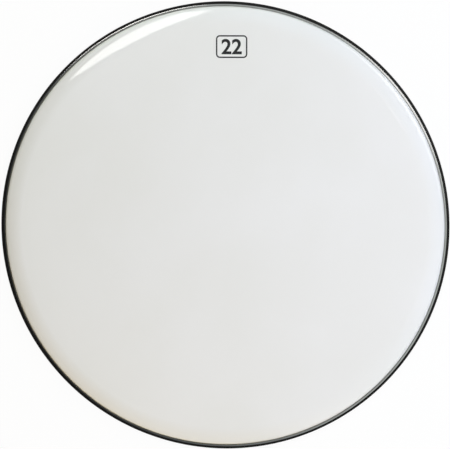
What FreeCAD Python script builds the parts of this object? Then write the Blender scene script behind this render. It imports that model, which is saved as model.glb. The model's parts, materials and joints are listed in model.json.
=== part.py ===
# Bass drum head for a 22 inch shell: a formed polyester film whose punched skirt is locked by
# cured resin inside a rolled aluminium channel hoop.
# Frame: origin at the middle of the hoop's underside, +Z up towards the playing side,
# +Y towards the place where the size mark is printed.
import FreeCAD, Part
import math
import os

# Driving dimensions, in millimetres and degrees

# the drum that the head fits
SHELL_DIAMETER = 558.8
SHELL_CLEARANCE = 1.2

# aluminium channel hoop, rolled from strip
STRIP_THICKNESS = 0.8
CHANNEL_INSIDE_WIDTH = 5.8
HOOP_HEIGHT = 9.5
INNER_WALL_DROP = 0.8
FOOT_BEVEL = 0.5
OUTER_WALL_HEIGHT = 4.6
LIP_LAND = 0.3
CREST_WIDTH = 1.8
CREST_ANGLE = 6.0
SEAM_GAP = 0.3
SEAM_ANGLE = -50.0

# polyester film
FILM_THICKNESS = 0.25
COLLAR_RISE = 9.5
SHOULDER_RADIUS = 47.0
SHOULDER_ANGLE = 24.0
CROWN_RADIUS = 5.5
COLLAR_ANGLE = 75.0
THROAT_DEPTH = 0.5
SKIRT_FLOOR_GAP = 1.0
WINDOW_COUNT = 20
WINDOW_WIDTH = 12.0
WINDOW_MARGIN = 0.47

# cured resin that locks the film in the channel
RESIN_BED = 0.3
RESIN_HEADROOM = 0.2
SLOT_GAP = 0.6

# Places worked out from the sizes above

BORE_RADIUS = SHELL_DIAMETER / 2 + SHELL_CLEARANCE
CHANNEL_INNER_RADIUS = BORE_RADIUS + STRIP_THICKNESS
CHANNEL_OUTER_RADIUS = CHANNEL_INNER_RADIUS + CHANNEL_INSIDE_WIDTH
RIM_RADIUS = CHANNEL_OUTER_RADIUS + STRIP_THICKNESS
SKIRT_RADIUS = CHANNEL_INNER_RADIUS + RESIN_BED + FILM_THICKNESS
LIP_END_RADIUS = SKIRT_RADIUS + SLOT_GAP
LAND_EDGE_RADIUS = LIP_END_RADIUS + LIP_LAND
CREST_EDGE_RADIUS = LAND_EDGE_RADIUS + CREST_WIDTH
CREST_EDGE_HEIGHT = HOOP_HEIGHT - CREST_WIDTH * math.tan(math.radians(CREST_ANGLE))
FLANK_DROP = CREST_EDGE_HEIGHT - OUTER_WALL_HEIGHT
FLANK_ANGLE = math.degrees(math.atan2(FLANK_DROP, RIM_RADIUS - CREST_EDGE_RADIUS))
INNER_WALL_TOP = HOOP_HEIGHT - INNER_WALL_DROP
THROAT_HEIGHT = HOOP_HEIGHT - THROAT_DEPTH
FLAT_HEIGHT = HOOP_HEIGHT + COLLAR_RISE
SKIRT_FOOT = STRIP_THICKNESS + SKIRT_FLOOR_GAP
RIGHT_ANGLE = 90.0
FULL_TURN = 360.0
FLANK_MITRE = STRIP_THICKNESS * math.tan(math.radians(RIGHT_ANGLE - FLANK_ANGLE) / 2)
RESIN_LEVEL = OUTER_WALL_HEIGHT - FLANK_MITRE - RESIN_HEADROOM
WINDOW_FOOT = SKIRT_FOOT + WINDOW_MARGIN
WINDOW_HEIGHT = RESIN_LEVEL - WINDOW_MARGIN - WINDOW_FOOT
AXIS = FreeCAD.Vector(0, 0, 1)
ORIGIN = FreeCAD.Vector(0, 0, 0)


def at(radius, height):
    """A point of a section, which lies in the XZ plane."""
    return FreeCAD.Vector(radius, 0, height)


def leaning(tilt):
    """The unit vector of a section that leans tilt degrees away from +Z."""
    return at(math.sin(math.radians(tilt)), math.cos(math.radians(tilt)))


def on_bend(centre, radius, tilt):
    """The point of a bend where its outward normal leans tilt degrees away from +Z."""
    return centre + leaning(tilt) * radius


def mitred(corner, first_tilt, second_tilt, depth):
    """A corner of two flats carried to the faces depth below them, from the tilts of their normals."""
    first = leaning(first_tilt)
    second = leaning(second_tilt)
    return corner - (first + second) * (depth / (1 + first.dot(second)))


def turned(edges):
    """The solid of revolution of a closed section about the head's axis."""
    section = Part.Face(Part.Wire(Part.__sortEdges__(edges)))
    return section.revolve(ORIGIN, AXIS, FULL_TURN)


def polygon(points):
    return Part.makePolygon(points + points[:1]).Edges


def bend(centre, radius, start_tilt, end_tilt):
    """An arc of a section between two tilts of its outward normal."""
    tilts = (start_tilt, (start_tilt + end_tilt) / 2, end_tilt)
    return Part.Arc(*[on_bend(centre, radius, tilt) for tilt in tilts]).toShape()


def line(start, end):
    return Part.LineSegment(start, end).toShape()


def film_bend_centres():
    """Centres of the shoulder's and the crown's bends, worked up from the hoop to the flat."""
    shoulder = math.radians(SHOULDER_ANGLE)
    collar = math.radians(COLLAR_ANGLE)
    shoulder_drop = SHOULDER_RADIUS * (1 - math.cos(shoulder))
    crown_drop = CROWN_RADIUS * (math.cos(shoulder) - math.cos(collar))
    collar_drop = FLAT_HEIGHT - THROAT_HEIGHT - shoulder_drop - crown_drop
    collar_top = at(SKIRT_RADIUS - collar_drop / math.tan(collar), THROAT_HEIGHT + collar_drop)
    crown = on_bend(collar_top, -CROWN_RADIUS, COLLAR_ANGLE)
    return on_bend(crown, CROWN_RADIUS - SHOULDER_RADIUS, SHOULDER_ANGLE), crown


def film_face(depth):
    """The film's section from the axis to the skirt's foot, on a face depth below the outside."""
    shoulder, crown = film_bend_centres()
    mitre = depth * math.tan(math.radians(RIGHT_ANGLE - COLLAR_ANGLE) / 2)
    skirt_top = at(SKIRT_RADIUS - depth, THROAT_HEIGHT - mitre)
    return [
        line(at(0, FLAT_HEIGHT - depth), on_bend(shoulder, SHOULDER_RADIUS - depth, 0)),
        bend(shoulder, SHOULDER_RADIUS - depth, 0, SHOULDER_ANGLE),
        bend(crown, CROWN_RADIUS - depth, SHOULDER_ANGLE, COLLAR_ANGLE),
        line(on_bend(crown, CROWN_RADIUS - depth, COLLAR_ANGLE), skirt_top),
        line(skirt_top, at(SKIRT_RADIUS - depth, SKIRT_FOOT)),
    ]


def make_film():
    """The formed sheet, with a row of windows punched through its skirt for the resin."""
    middle = line(at(0, FLAT_HEIGHT), at(0, FLAT_HEIGHT - FILM_THICKNESS))
    foot = line(at(SKIRT_RADIUS, SKIRT_FOOT), at(SKIRT_RADIUS - FILM_THICKNESS, SKIRT_FOOT))
    sheet = turned(film_face(0) + film_face(FILM_THICKNESS) + [middle, foot])
    corner = FreeCAD.Vector(SKIRT_RADIUS - 2 * FILM_THICKNESS, -WINDOW_WIDTH / 2, WINDOW_FOOT)
    punch = Part.makeBox(3 * FILM_THICKNESS, WINDOW_WIDTH, WINDOW_HEIGHT, corner)
    punches = []
    for index in range(WINDOW_COUNT):
        turn = FULL_TURN * index / WINDOW_COUNT
        punches.append(punch.rotated(ORIGIN, AXIS, turn))
    return sheet.cut(Part.makeCompound(punches))


def lip_face(depth):
    """The lip's section from its end to the outer wall, on a face depth below the outside."""
    return [
        at(LIP_END_RADIUS, HOOP_HEIGHT - depth),
        mitred(at(LAND_EDGE_RADIUS, HOOP_HEIGHT), 0, CREST_ANGLE, depth),
        mitred(at(CREST_EDGE_RADIUS, CREST_EDGE_HEIGHT), CREST_ANGLE, FLANK_ANGLE, depth),
        mitred(at(RIM_RADIUS, OUTER_WALL_HEIGHT), FLANK_ANGLE, RIGHT_ANGLE, depth),
    ]


def make_channel_hoop():
    """The rolled strip, its lip folded in over the channel and its two ends a seam's gap apart."""
    outside = lip_face(0) + [
        at(RIM_RADIUS, FOOT_BEVEL),
        at(RIM_RADIUS - FOOT_BEVEL, 0),
        at(BORE_RADIUS + FOOT_BEVEL, 0),
        at(BORE_RADIUS, FOOT_BEVEL),
        at(BORE_RADIUS, INNER_WALL_TOP),
    ]
    inside = lip_face(STRIP_THICKNESS) + [
        at(CHANNEL_OUTER_RADIUS, STRIP_THICKNESS),
        at(CHANNEL_INNER_RADIUS, STRIP_THICKNESS),
        at(CHANNEL_INNER_RADIUS, INNER_WALL_TOP),
    ]
    ring = turned(polygon(outside + inside[::-1]))
    wide = RIM_RADIUS - BORE_RADIUS
    corner = FreeCAD.Vector(BORE_RADIUS - wide / 2, -SEAM_GAP / 2, -HOOP_HEIGHT / 2)
    saw = Part.makeBox(2 * wide, SEAM_GAP, 2 * HOOP_HEIGHT, corner)
    return ring.cut(saw.rotated(ORIGIN, AXIS, SEAM_ANGLE))


def make_resin_fill(film):
    """The resin poured level into the channel, which sets round the skirt and through its windows."""
    pool = [
        at(CHANNEL_INNER_RADIUS, STRIP_THICKNESS),
        at(CHANNEL_OUTER_RADIUS, STRIP_THICKNESS),
        at(CHANNEL_OUTER_RADIUS, RESIN_LEVEL),
        at(CHANNEL_INNER_RADIUS, RESIN_LEVEL),
    ]
    return turned(polygon(pool)).cut(film)


film = make_film()
pieces = {
    "film": film,
    "channel_hoop": make_channel_hoop(),
    "resin_fill": make_resin_fill(film),
}
os.makedirs("parts", exist_ok=True)
for name, shape in pieces.items():
    shape.exportStep(f"parts/{name}.step")
    print(name, len(shape.Solids), round(shape.Volume, 1), shape.isValid())
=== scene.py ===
import json
import math
import bmesh
import bpy
from mathutils import Matrix, Vector


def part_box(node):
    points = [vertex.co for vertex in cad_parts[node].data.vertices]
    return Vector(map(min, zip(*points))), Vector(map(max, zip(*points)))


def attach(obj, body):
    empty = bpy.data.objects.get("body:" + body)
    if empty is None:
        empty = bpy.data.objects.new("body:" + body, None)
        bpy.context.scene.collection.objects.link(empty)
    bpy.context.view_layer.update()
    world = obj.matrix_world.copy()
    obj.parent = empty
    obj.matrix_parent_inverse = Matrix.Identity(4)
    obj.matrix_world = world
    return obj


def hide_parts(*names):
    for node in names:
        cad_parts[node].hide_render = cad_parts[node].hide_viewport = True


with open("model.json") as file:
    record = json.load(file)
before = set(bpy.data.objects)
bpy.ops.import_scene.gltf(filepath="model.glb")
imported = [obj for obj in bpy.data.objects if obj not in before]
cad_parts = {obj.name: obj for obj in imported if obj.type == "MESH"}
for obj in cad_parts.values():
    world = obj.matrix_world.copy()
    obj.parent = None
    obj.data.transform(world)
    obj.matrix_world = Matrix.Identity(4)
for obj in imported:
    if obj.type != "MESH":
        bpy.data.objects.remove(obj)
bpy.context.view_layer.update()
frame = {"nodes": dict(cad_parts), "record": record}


# Channel hoop: one strip of mill-finish aluminium, rolled to a channel and curled into a ring, with its
# lip folded in beside the film. The strip's section is drawn once and spun from one end of the strip to
# the other, so the butt seam stays open, and the wall then gets the strip's thickness.

millimetre = 0.001
mount_sizes = {mount["name"]: mount["dims"] for mount in frame["record"]["mounts"]}
bore_radius = mount_sizes["shell_bore"]["r_mm"] * millimetre
rim_radius = mount_sizes["hoop_rim"]["r_mm"] * millimetre
hoop_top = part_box("channel_hoop")[1].z
strip_thickness = 0.0008
inner_wall_drop = 0.0008
outer_wall_height = 0.0046
lip_land = 0.0003
crest_width = 0.0018
crest_angle = math.radians(2)
foot_fold = 0.0011
flank_fold = 0.0008
land_fold = 0.004
fold_step_angle = math.radians(4)
film_thickness = 0.00025
resin_bed = 0.0003
slot_gap = 0.0006
seam_angle = math.radians(-50)
seam_gap = 0.0003
hoop_steps = 480
strip_edge_round = 0.00018
strip_edge_steps = 2
merge_distance = 1e-6
crease_angle = math.radians(40)
full_turn = math.radians(360)


def start_section(name, radius, height):
    """Opens a new piece in edit mode with one vertex, the start of a section in the XZ plane."""
    bpy.ops.object.select_all(action="DESELECT")
    bpy.ops.mesh.primitive_plane_add(size=millimetre)
    piece = bpy.context.object
    piece.name = name
    piece.data.name = name
    bpy.ops.object.mode_set(mode="EDIT")
    bpy.ops.mesh.select_mode(type="VERT")
    bpy.ops.mesh.merge(type="CENTER")
    bpy.ops.transform.translate(value=(radius, 0, height))
    return piece


def draw_line(across, up):
    bpy.ops.mesh.extrude_region_move(TRANSFORM_OT_translate={"value": (across, 0, up)})


def draw_bend(radius, height, angle, steps):
    """Carries the section on round a bend; with no window a positive angle turns from +X to +Z."""
    bpy.ops.mesh.spin(steps=steps, angle=angle, center=(radius, 0, height), axis=(0, 1, 0))


def draw_folds(start, corners, end):
    """Carries the section on from corner to corner, each rounded to its own radius, and to the end."""
    place = Vector(start)
    onward_corners = [Vector(corner) for corner, fold in corners[1:]] + [Vector(end)]
    for (corner, fold), onward_corner in zip(corners, onward_corners):
        corner = Vector(corner)
        into = (corner - place).normalized()
        onward = (onward_corner - corner).normalized()
        turn = into.angle(onward)
        fold_start = corner - into * fold * math.tan(turn / 2)
        draw_line(*(fold_start - place))
        fold_centre = fold_start + Vector((-into.y, into.x)) * fold
        draw_bend(*fold_centre, turn, math.ceil(turn / fold_step_angle))
        place = corner + onward * fold * math.tan(turn / 2)
    draw_line(*(Vector(end) - place))


def turn_section(angle):
    """Turns the drawn section about the head's axis; with no window the operator turns the other way."""
    bpy.ops.mesh.select_all(action="SELECT")
    bpy.ops.transform.rotate(value=-angle, orient_axis="Z", center_override=(0, 0, 0))


def spin_section(angle, steps):
    """Spins the drawn section about the head's axis and leaves edit mode."""
    bpy.ops.mesh.select_all(action="SELECT")
    bpy.ops.mesh.spin(steps=steps, angle=angle, center=(0, 0, 0), axis=(0, 0, 1))
    bpy.ops.mesh.select_all(action="SELECT")
    bpy.ops.mesh.remove_doubles(threshold=merge_distance)
    bpy.ops.mesh.normals_make_consistent(inside=False)
    bpy.ops.object.mode_set(mode="OBJECT")


def apply_modifier(piece, kind, **settings):
    modifier = piece.modifiers.new(kind.title(), kind)
    for name, value in settings.items():
        setattr(modifier, name, value)
    bpy.ops.object.modifier_apply(modifier=modifier.name)


def thicken(piece, thickness):
    """Gives a sheet its thickness, inwards from the face that was drawn."""
    apply_modifier(piece, "SOLIDIFY", thickness=thickness, offset=-1, use_even_offset=True)


skirt_radius = bore_radius + strip_thickness + resin_bed + film_thickness
lip_end_radius = skirt_radius + slot_gap
land_edge_radius = lip_end_radius + lip_land
crest_edge_radius = land_edge_radius + crest_width
crest_edge_height = hoop_top - crest_width * math.tan(crest_angle)
wall_end = (bore_radius, hoop_top - inner_wall_drop)
strip_folds = (
    ((bore_radius, 0), foot_fold),
    ((rim_radius, 0), foot_fold),
    ((rim_radius, outer_wall_height), flank_fold),
    ((crest_edge_radius, crest_edge_height), flank_fold),
    ((land_edge_radius, hoop_top), land_fold),
)
hoop = start_section("rolled_hoop", *wall_end)
draw_folds(wall_end, strip_folds, (lip_end_radius, hoop_top))
seam_half_angle = seam_gap / rim_radius / 2
turn_section(seam_angle - seam_half_angle)
spin_section(full_turn - 2 * seam_half_angle, hoop_steps)
thicken(hoop, strip_thickness)
apply_modifier(
    hoop,
    "BEVEL",
    width=strip_edge_round,
    segments=strip_edge_steps,
    limit_method="ANGLE",
    angle_limit=crease_angle,
)
bpy.ops.object.shade_smooth_by_angle(angle=crease_angle)

aluminium_base = (0.62, 0.612, 0.59, 1)
aluminium_dull = (0.54, 0.53, 0.51, 1)
stains_per_metre = 38
stain_detail = 4.0
stain_roughness = 0.6
stain_span = (0.35, 0.7)
roll_lines_across_metre = 5200
roll_lines_along_metre = 9
roll_line_detail = 3.0
roll_line_roughness = 0.65
roll_line_depth = 0.0000012
roll_line_span = (0.25, 0.75)
aluminium_roughness = (0.06, 0.12)


def new_material(name):
    material = bpy.data.materials.new(name)
    material.use_nodes = True
    shader = material.node_tree.nodes["Principled BSDF"]
    return material, material.node_tree, shader


def add_node(tree, kind, settings=None, **sockets):
    """Adds a node; settings are its own properties and sockets the values of its inputs by name."""
    node = tree.nodes.new(kind)
    for name, value in (settings or {}).items():
        setattr(node, name, value)
    for name, value in sockets.items():
        node.inputs[name].default_value = value
    return node


def feed(tree, socket, value):
    """Gives an input either the output socket that feeds it or a plain value."""
    if isinstance(value, bpy.types.NodeSocket):
        tree.links.new(value, socket)
    else:
        socket.default_value = value


def add_math(tree, operation, first, second=0):
    """A Math node on one or two inputs, each an output socket or a plain number."""
    node = add_node(tree, "ShaderNodeMath", {"operation": operation})
    for socket, value in zip(node.inputs, (first, second)):
        feed(tree, socket, value)
    return node.outputs["Value"]


def add_noise(tree, place, scale, detail, roughness=0.5):
    node = add_node(tree, "ShaderNodeTexNoise", Scale=scale, Detail=detail, Roughness=roughness)
    tree.links.new(place, node.inputs["Vector"])
    return node.outputs["Fac"]


def add_range(tree, value, span, to_span=(0, 1)):
    """A smooth Map Range of a value from one span to another."""
    node = add_node(tree, "ShaderNodeMapRange", {"interpolation_type": "SMOOTHSTEP"})
    for name, limit in zip(("From Min", "From Max", "To Min", "To Max"), (*span, *to_span)):
        node.inputs[name].default_value = limit
    tree.links.new(value, node.inputs["Value"])
    return node.outputs["Result"]


def add_mix(tree, share, first, second):
    """A colour mix by a share, between two plain colours or colour sockets."""
    node = add_node(tree, "ShaderNodeMix", {"data_type": "RGBA"})
    tree.links.new(share, node.inputs["Factor"])
    colour_inputs = [socket for socket in node.inputs if socket.type == "RGBA"]
    for socket, value in zip(colour_inputs, (first, second)):
        feed(tree, socket, value)
    return next(socket for socket in node.outputs if socket.type == "RGBA")


def add_bump(tree, shader, height, distance):
    node = add_node(tree, "ShaderNodeBump", Distance=distance)
    tree.links.new(height, node.inputs["Height"])
    tree.links.new(node.outputs["Normal"], shader.inputs["Normal"])


def colour_by(tree, shader, pattern, span, first, second):
    """Blends the surface from one colour to the other as a pattern passes through a span."""
    colour = add_mix(tree, add_range(tree, pattern, span), first, second)
    tree.links.new(colour, shader.inputs["Base Color"])


def roughen_by(tree, shader, pattern, span, roughness):
    """Takes the surface from the low to the high roughness as a pattern passes through a span."""
    tree.links.new(add_range(tree, pattern, span, roughness), shader.inputs["Roughness"])


def object_place(tree):
    return tree.nodes.new("ShaderNodeTexCoord").outputs["Object"]


def radius_and_height(tree, place):
    """A place's distance from the head's axis, and its height."""
    parts = tree.nodes.new("ShaderNodeSeparateXYZ")
    tree.links.new(place, parts.inputs["Vector"])
    across = add_math(tree, "MULTIPLY", parts.outputs["X"], parts.outputs["X"])
    along = add_math(tree, "MULTIPLY", parts.outputs["Y"], parts.outputs["Y"])
    return add_math(tree, "SQRT", add_math(tree, "ADD", across, along)), parts.outputs["Z"]


def dress(piece, material):
    piece.data.materials.clear()
    piece.data.materials.append(material)


# The roll lines run along the strip: they change fast with radius and height and slowly round the ring.
aluminium, tree, shader = new_material("drawn_aluminium")
place = object_place(tree)
line_place = add_math(tree, "ADD", *radius_and_height(tree, place))
lines = add_node(
    tree,
    "ShaderNodeTexNoise",
    {"noise_dimensions": "4D"},
    Scale=roll_lines_along_metre,
    Detail=roll_line_detail,
    Roughness=roll_line_roughness,
)
tree.links.new(place, lines.inputs["Vector"])
lines_to_scale = roll_lines_across_metre / roll_lines_along_metre
tree.links.new(add_math(tree, "MULTIPLY", line_place, lines_to_scale), lines.inputs["W"])
stains = add_noise(tree, place, stains_per_metre, stain_detail, stain_roughness)
colour_by(tree, shader, stains, stain_span, aluminium_base, aluminium_dull)
roughen_by(tree, shader, lines.outputs["Fac"], roll_line_span, aluminium_roughness)
add_bump(tree, shader, lines.outputs["Fac"], roll_line_depth)
shader.inputs["Metallic"].default_value = 1.0

dress(hoop, aluminium)
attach(hoop, "root")
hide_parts("channel_hoop")


# Film: one disc of white polyester, heat-formed with a flat, a gentle shoulder, a tight crown and a steep
# collar. Its skirt stands in the hoop's channel, with a row of windows punched for the resin, and has set
# a quarter of a millimetre off the middle, so that the slot beside the lip is narrower at the right.

ink_depth = 0.00001
flat_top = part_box("film")[1].z - ink_depth
skirt_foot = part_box("film")[0].z
throat_depth = 0.0005
shoulder_radius = 0.047
shoulder_angle = math.radians(24)
shoulder_steps = 20
crown_radius = 0.0055
collar_angle = math.radians(75)
crown_steps = 16
flat_rings = 6
window_count = 20
window_foot = 0.00227
window_height = 0.00142
columns_per_window = 22
window_columns = 3
film_set_off = Vector((0.00023, 0.00016, 0))

# The bends' centres are worked up from the slot to the flat, so that each stretch runs on into the next.
throat_height = hoop_top - throat_depth
shoulder_drop = shoulder_radius * (1 - math.cos(shoulder_angle))
crown_drop = crown_radius * (math.cos(shoulder_angle) - math.cos(collar_angle))
collar_drop = flat_top - throat_height - shoulder_drop - crown_drop
collar_run = collar_drop / math.tan(collar_angle)
crown_centre_radius = skirt_radius - collar_run - crown_radius * math.sin(collar_angle)
crown_centre_height = throat_height + collar_drop - crown_radius * math.cos(collar_angle)
bend_step = crown_radius - shoulder_radius
shoulder_centre_radius = crown_centre_radius + bend_step * math.sin(shoulder_angle)
shoulder_centre_height = crown_centre_height + bend_step * math.cos(shoulder_angle)
window_top = window_foot + window_height
film_steps = window_count * columns_per_window
column_angle = full_turn / film_steps

film = start_section("formed_film", 0, flat_top)
for ring in range(flat_rings):
    draw_line(shoulder_centre_radius / flat_rings, 0)
draw_bend(shoulder_centre_radius, shoulder_centre_height, -shoulder_angle, shoulder_steps)
draw_bend(crown_centre_radius, crown_centre_height, shoulder_angle - collar_angle, crown_steps)
draw_line(collar_run, -collar_drop)
draw_line(0, window_top - throat_height)
draw_line(0, -window_height)
draw_line(0, skirt_foot - window_foot)
turn_section(column_angle * window_columns / 2)
spin_section(full_turn, film_steps)


def in_window(centre):
    """Whether a face of the skirt lies where a window is punched."""
    turn = math.atan2(centre.y, centre.x) / column_angle
    from_middle = (turn + columns_per_window / 2) % columns_per_window - columns_per_window / 2
    return window_foot < centre.z < window_top and abs(from_middle) < window_columns / 2


bpy.ops.object.mode_set(mode="EDIT")
bpy.ops.mesh.select_mode(type="FACE")
bpy.ops.mesh.select_all(action="DESELECT")
film_mesh = bmesh.from_edit_mesh(film.data)
for face in film_mesh.faces:
    face.select_set(in_window(face.calc_center_median()))
bmesh.update_edit_mesh(film.data)
bpy.ops.mesh.delete(type="FACE")
bpy.ops.mesh.select_all(action="SELECT")
bpy.ops.transform.translate(value=film_set_off)
bpy.ops.object.mode_set(mode="OBJECT")
thicken(film, film_thickness)
bpy.ops.object.shade_smooth_by_angle(angle=crease_angle)

film_white = (0.84, 0.84, 0.83, 1)
film_cream = (0.82, 0.82, 0.80, 1)
clouds_per_metre = 7
cloud_detail = 3.0
cloud_span = (0.3, 0.7)
smudges_per_metre = 22
smudge_detail = 5.0
smudge_roughness = 0.6
smudge_span = (0.3, 0.75)
film_roughness = (0.035, 0.07)
peel_per_metre = 900
peel_detail = 1.0
peel_depth = 0.0000012
polyester_ior = 1.58

polyester, tree, shader = new_material("white_polyester")
place = object_place(tree)
clouds = add_noise(tree, place, clouds_per_metre, cloud_detail)
colour_by(tree, shader, clouds, cloud_span, film_white, film_cream)
smudges = add_noise(tree, place, smudges_per_metre, smudge_detail, smudge_roughness)
roughen_by(tree, shader, smudges, smudge_span, film_roughness)
peel = add_noise(tree, place, peel_per_metre, peel_detail)
add_bump(tree, shader, peel, peel_depth)
shader.inputs["IOR"].default_value = polyester_ior

dress(film, polyester)
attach(film, "root")
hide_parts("film")


# Size mark: the diameter of the drum in inches, printed near the edge of the film in one pass of dark
# ink, with a plain rounded border round the two numerals. The ink takes up the last hundredth of a
# millimetre below the head's top.

mark_place = Vector((0.0105, 0.2310, flat_top + ink_depth))
numeral_size = 0.0265
numeral_weight = 0.0006
border_width = 0.040
border_height = 0.029
border_corner = 0.005
border_corner_steps = 8
border_line = 0.0018
ink_black = (0.007, 0.007, 0.008, 1)
ink_thin = (0.020, 0.020, 0.022, 1)
specks_per_metre = 700
speck_detail = 3.0
speck_roughness = 0.6
speck_span = (0.5, 0.8)
ink_gloss_span = (0.3, 0.7)
ink_roughness = (0.30, 0.45)

bpy.ops.object.select_all(action="DESELECT")
bpy.ops.object.text_add()
numerals = bpy.context.object
numerals.data.body = "22"
numerals.data.size = numeral_size
numerals.data.offset = numeral_weight
bpy.ops.object.convert(target="MESH")
bpy.ops.object.origin_set(type="ORIGIN_GEOMETRY", center="BOUNDS")
numerals.location = mark_place

bpy.ops.object.select_all(action="DESELECT")
bpy.ops.mesh.primitive_plane_add(size=1)
size_mark = bpy.context.object
size_mark.name = "size_mark"
size_mark.scale = (border_width, border_height, 1)
bpy.ops.object.transform_apply(location=False, rotation=False, scale=True)
bpy.ops.object.mode_set(mode="EDIT")
bpy.ops.mesh.select_all(action="SELECT")
bpy.ops.mesh.bevel(affect="VERTICES", offset=border_corner, segments=border_corner_steps)
bpy.ops.mesh.select_all(action="SELECT")
bpy.ops.mesh.inset(thickness=border_line)
bpy.ops.mesh.delete(type="FACE")
bpy.ops.object.mode_set(mode="OBJECT")
size_mark.location = mark_place
numerals.select_set(True)
bpy.ops.object.join()
bpy.ops.object.transform_apply()

print_ink, tree, shader = new_material("print_ink")
specks = add_noise(tree, object_place(tree), specks_per_metre, speck_detail, speck_roughness)
colour_by(tree, shader, specks, speck_span, ink_black, ink_thin)
roughen_by(tree, shader, specks, ink_gloss_span, ink_roughness)

dress(size_mark, print_ink)
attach(size_mark, "root")


# Resin: poured into the channel round the skirt and cured there. Its solid is kept as packed, and shows
# only as an amber line down in the slot between the lip and the film.

resin_amber = (0.42, 0.36, 0.23, 1)
resin_dark = (0.30, 0.25, 0.16, 1)
grains_per_metre = 160
grain_detail = 4.0
grain_roughness = 0.6
grain_span = (0.3, 0.7)
resin_roughness = (0.35, 0.55)

cured_resin, tree, shader = new_material("cured_resin")
grain = add_noise(tree, object_place(tree), grains_per_metre, grain_detail, grain_roughness)
colour_by(tree, shader, grain, grain_span, resin_amber, resin_dark)
roughen_by(tree, shader, grain, grain_span, resin_roughness)
dress(frame["nodes"]["resin_fill"], cured_resin)


# Floor: a broad white studio table that the head lies on, with a low upstand far away. It is mostly white
# of its own for what looks at it, and part of it takes the lamps, so that it keeps the head's shadow.

floor_radius = 19.0
floor_corners = 96
upstand = 1.5
floor_white = (0.92, 0.92, 0.92, 1)
floor_roughness = 0.9
own_white = 1.0
own_white_share = 0.92

floor = start_section("floor", 0, 0)
draw_line(floor_radius, 0)
draw_line(0, upstand)
spin_section(full_turn, floor_corners)

table_white, tree, shader = new_material("table_white")
shader.inputs["Base Color"].default_value = floor_white
shader.inputs["Roughness"].default_value = floor_roughness
path = tree.nodes.new("ShaderNodeLightPath")
looked_at = add_math(tree, "MAXIMUM", path.outputs["Is Camera Ray"], path.outputs["Is Glossy Ray"])
looked_at = add_math(tree, "MAXIMUM", looked_at, path.outputs["Is Transmission Ray"])
glow = add_node(tree, "ShaderNodeEmission", Strength=own_white)
blend = tree.nodes.new("ShaderNodeMixShader")
share_input, lit_input, own_input = blend.inputs
tree.links.new(add_math(tree, "MULTIPLY", looked_at, own_white_share), share_input)
tree.links.new(shader.outputs["BSDF"], lit_input)
tree.links.new(glow.outputs["Emission"], own_input)
tree.links.new(blend.outputs["Shader"], tree.nodes["Material Output"].inputs["Surface"])
dress(floor, table_white)


# Studio: a dark room with a pale ceiling at the right and a patch of light overhead, a white panel at the
# upper left and a soft one at the right. One plain lamp fills from above the right and four shine low
# from round the head. A black card with a raised edge, which the camera doesn't see, keeps the rim dark.

straight_up = Vector((0, 0, 1))
room_dark = (0.010, 0.0095, 0.009, 1)
ceiling_pale = (0.56, 0.60, 0.60, 1)
ceiling_side = (0.94, 0.34, 0.0)
ceiling_side_span = (-0.25, 0.0)
ceiling_rise_span = (0.42, 0.62)
patch_white = (1.5, 1.5, 1.5, 1)
patch_side = (0.0549, -0.0070, 0.9985)
patch_span = (0.9985, 0.9995)
key_height = 2.0
key_corners = ((-0.45, 0.36), (-1.45, 0.95), (-0.35, 2.14), (-0.75, 2.40))
key_colour = (1.0, 0.99, 0.97, 1)
key_strength = 5.3
side_centre = Vector((1.10, 0.70, 0.80))
side_width = 2.1
side_depth = 0.85
side_colour = (0.95, 0.97, 1.0, 1)
side_strength = 4.2
side_fade_scale = 2.0
side_fade_span = (0, 0.7)
lamp_size = 0.6
fill_place = Vector((0.41, -0.10, 0.70))
fill_colour = (0.81, 0.79, 1.0)
fill_watts = 2.1
warm_place = Vector((-0.50, -1.30, 0.50))
warm_colour = (1.0, 0.79, 0.44)
warm_watts = 7.2
cool_place = Vector((0.90, -1.10, 0.50))
cool_colour = (0.80, 0.97, 1.0)
cool_watts = 4.05
upper_place = Vector((-0.65, 1.10, 0.35))
upper_colour = (1.0, 0.96, 0.52)
upper_watts = 2.1
far_place = Vector((0.25, 1.30, 0.30))
far_colour = (0.45, 0.77, 1.0)
far_watts = 1.8
card_overlap = 0.0002
card_width = 0.25
card_height = 0.0003
card_edge = 0.034
card_black = (0.006, 0.006, 0.006, 1)
card_roughness = 0.9

world = bpy.data.worlds.new("dark_room")
bpy.context.scene.world = world
world.use_nodes = True
tree = world.node_tree
direction = tree.nodes.new("ShaderNodeTexCoord").outputs["Generated"]


def share_towards(tree, direction, side, span):
    """A share from 0 to 1, as the cosine between a direction and a side passes through a span."""
    cosine = add_node(tree, "ShaderNodeVectorMath", {"operation": "DOT_PRODUCT"})
    looking_input, side_input = cosine.inputs[:2]
    tree.links.new(direction, looking_input)
    side_input.default_value = side
    return add_range(tree, cosine.outputs["Value"], span)


ceiling_share = add_math(
    tree,
    "MULTIPLY",
    share_towards(tree, direction, ceiling_side, ceiling_side_span),
    share_towards(tree, direction, straight_up, ceiling_rise_span),
)
ceiling = add_mix(tree, ceiling_share, room_dark, ceiling_pale)
patch_share = share_towards(tree, direction, patch_side, patch_span)
tree.links.new(add_mix(tree, patch_share, ceiling, patch_white), tree.nodes["Background"].inputs["Color"])


def add_panel(name, strength, colour):
    """A sheet that shines and that the camera doesn't see."""
    bpy.ops.object.select_all(action="DESELECT")
    bpy.ops.mesh.primitive_plane_add(size=1)
    panel = bpy.context.object
    panel.name = name
    panel.visible_camera = False
    material, tree, shader = new_material(name)
    glow = add_node(tree, "ShaderNodeEmission", Strength=strength, Color=colour)
    tree.links.new(glow.outputs["Emission"], tree.nodes["Material Output"].inputs["Surface"])
    dress(panel, material)
    return panel


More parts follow.
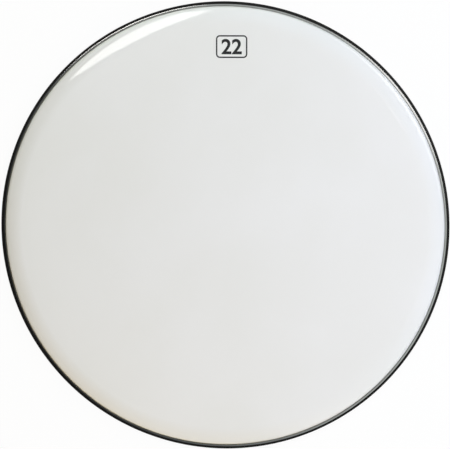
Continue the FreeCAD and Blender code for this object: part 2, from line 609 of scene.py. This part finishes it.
def add_lamp(name, place, colour, watts):
    """A square lamp that looks at the head and shows neither itself nor in a gloss."""
    light = bpy.data.lights.new(name, "AREA")
    light.energy = watts
    light.color = colour
    light.size = lamp_size
    lamp = bpy.data.objects.new(name, light)
    lamp.location = place
    lamp.rotation_euler = place.to_track_quat("Z", "Y").to_euler()
    lamp.visible_glossy = False
    lamp.visible_camera = False
    bpy.context.scene.collection.objects.link(lamp)


key_panel = add_panel("key_panel", key_strength, key_colour)
for vertex, corner in zip(key_panel.data.vertices, key_corners):
    vertex.co = (*corner, key_height)

# The side panel shines most in its middle and fades towards its edges.
side_panel = add_panel("side_panel", side_strength, side_colour)
side_panel.location = side_centre
side_panel.rotation_euler = side_centre.to_track_quat("Z", "Y").to_euler()
side_panel.scale = (side_width, side_depth, 1)
tree = side_panel.active_material.node_tree
spread = add_node(tree, "ShaderNodeVectorMath", {"operation": "SCALE"}, Scale=side_fade_scale)
tree.links.new(object_place(tree), spread.inputs["Vector"])
fade = add_node(tree, "ShaderNodeTexGradient", {"gradient_type": "SPHERICAL"})
tree.links.new(spread.outputs["Vector"], fade.inputs["Vector"])
side_shine = add_range(tree, fade.outputs["Fac"], side_fade_span, (0, side_strength))
tree.links.new(side_shine, tree.nodes["Emission"].inputs["Strength"])

add_lamp("fill_lamp", fill_place, fill_colour, fill_watts)
add_lamp("warm_lamp", warm_place, warm_colour, warm_watts)
add_lamp("cool_lamp", cool_place, cool_colour, cool_watts)
add_lamp("upper_lamp", upper_place, upper_colour, upper_watts)
add_lamp("far_lamp", far_place, far_colour, far_watts)

card = start_section("black_card", rim_radius - card_overlap, card_height)
draw_line(card_width, 0)
draw_line(0, card_edge)
spin_section(full_turn, floor_corners)
card_paper, tree, shader = new_material("card_paper")
shader.inputs["Base Color"].default_value = card_black
shader.inputs["Roughness"].default_value = card_roughness
dress(card, card_paper)
card.visible_camera = False
card.visible_diffuse = False
card.visible_shadow = False
card.visible_transmission = False


# Camera: a long lens that looks down on the playing side, a little off the axis towards the upper right.
# The nearer half of the ring looks larger, so the aim moves a little to keep the ring in the middle.

camera_distance = 4.0
camera_tilt = math.radians(7.1)
camera_side = Vector((0.602, 0.799, 0))
picture_width = 450
rim_pixels = 224.7
aim_place = Vector((-0.0006, 0.00045, 0.004))
aim_shift = rim_radius**2 * math.sin(camera_tilt) * math.cos(camera_tilt) / camera_distance

camera_data = bpy.data.cameras.new("camera")
camera_data.lens = rim_pixels / picture_width * camera_data.sensor_width * camera_distance / rim_radius
camera = bpy.data.objects.new("camera", camera_data)
back = camera_side * math.sin(camera_tilt) + straight_up * math.cos(camera_tilt)
camera.location = camera_side * aim_shift + aim_place + back * camera_distance
right = Vector((0, 1, 0)).cross(back).normalized()
camera.rotation_euler = Matrix((right, back.cross(right), back)).transposed().to_euler()
bpy.context.scene.collection.objects.link(camera)
bpy.context.scene.camera = camera
bpy.context.scene.view_settings.view_transform = "Standard"
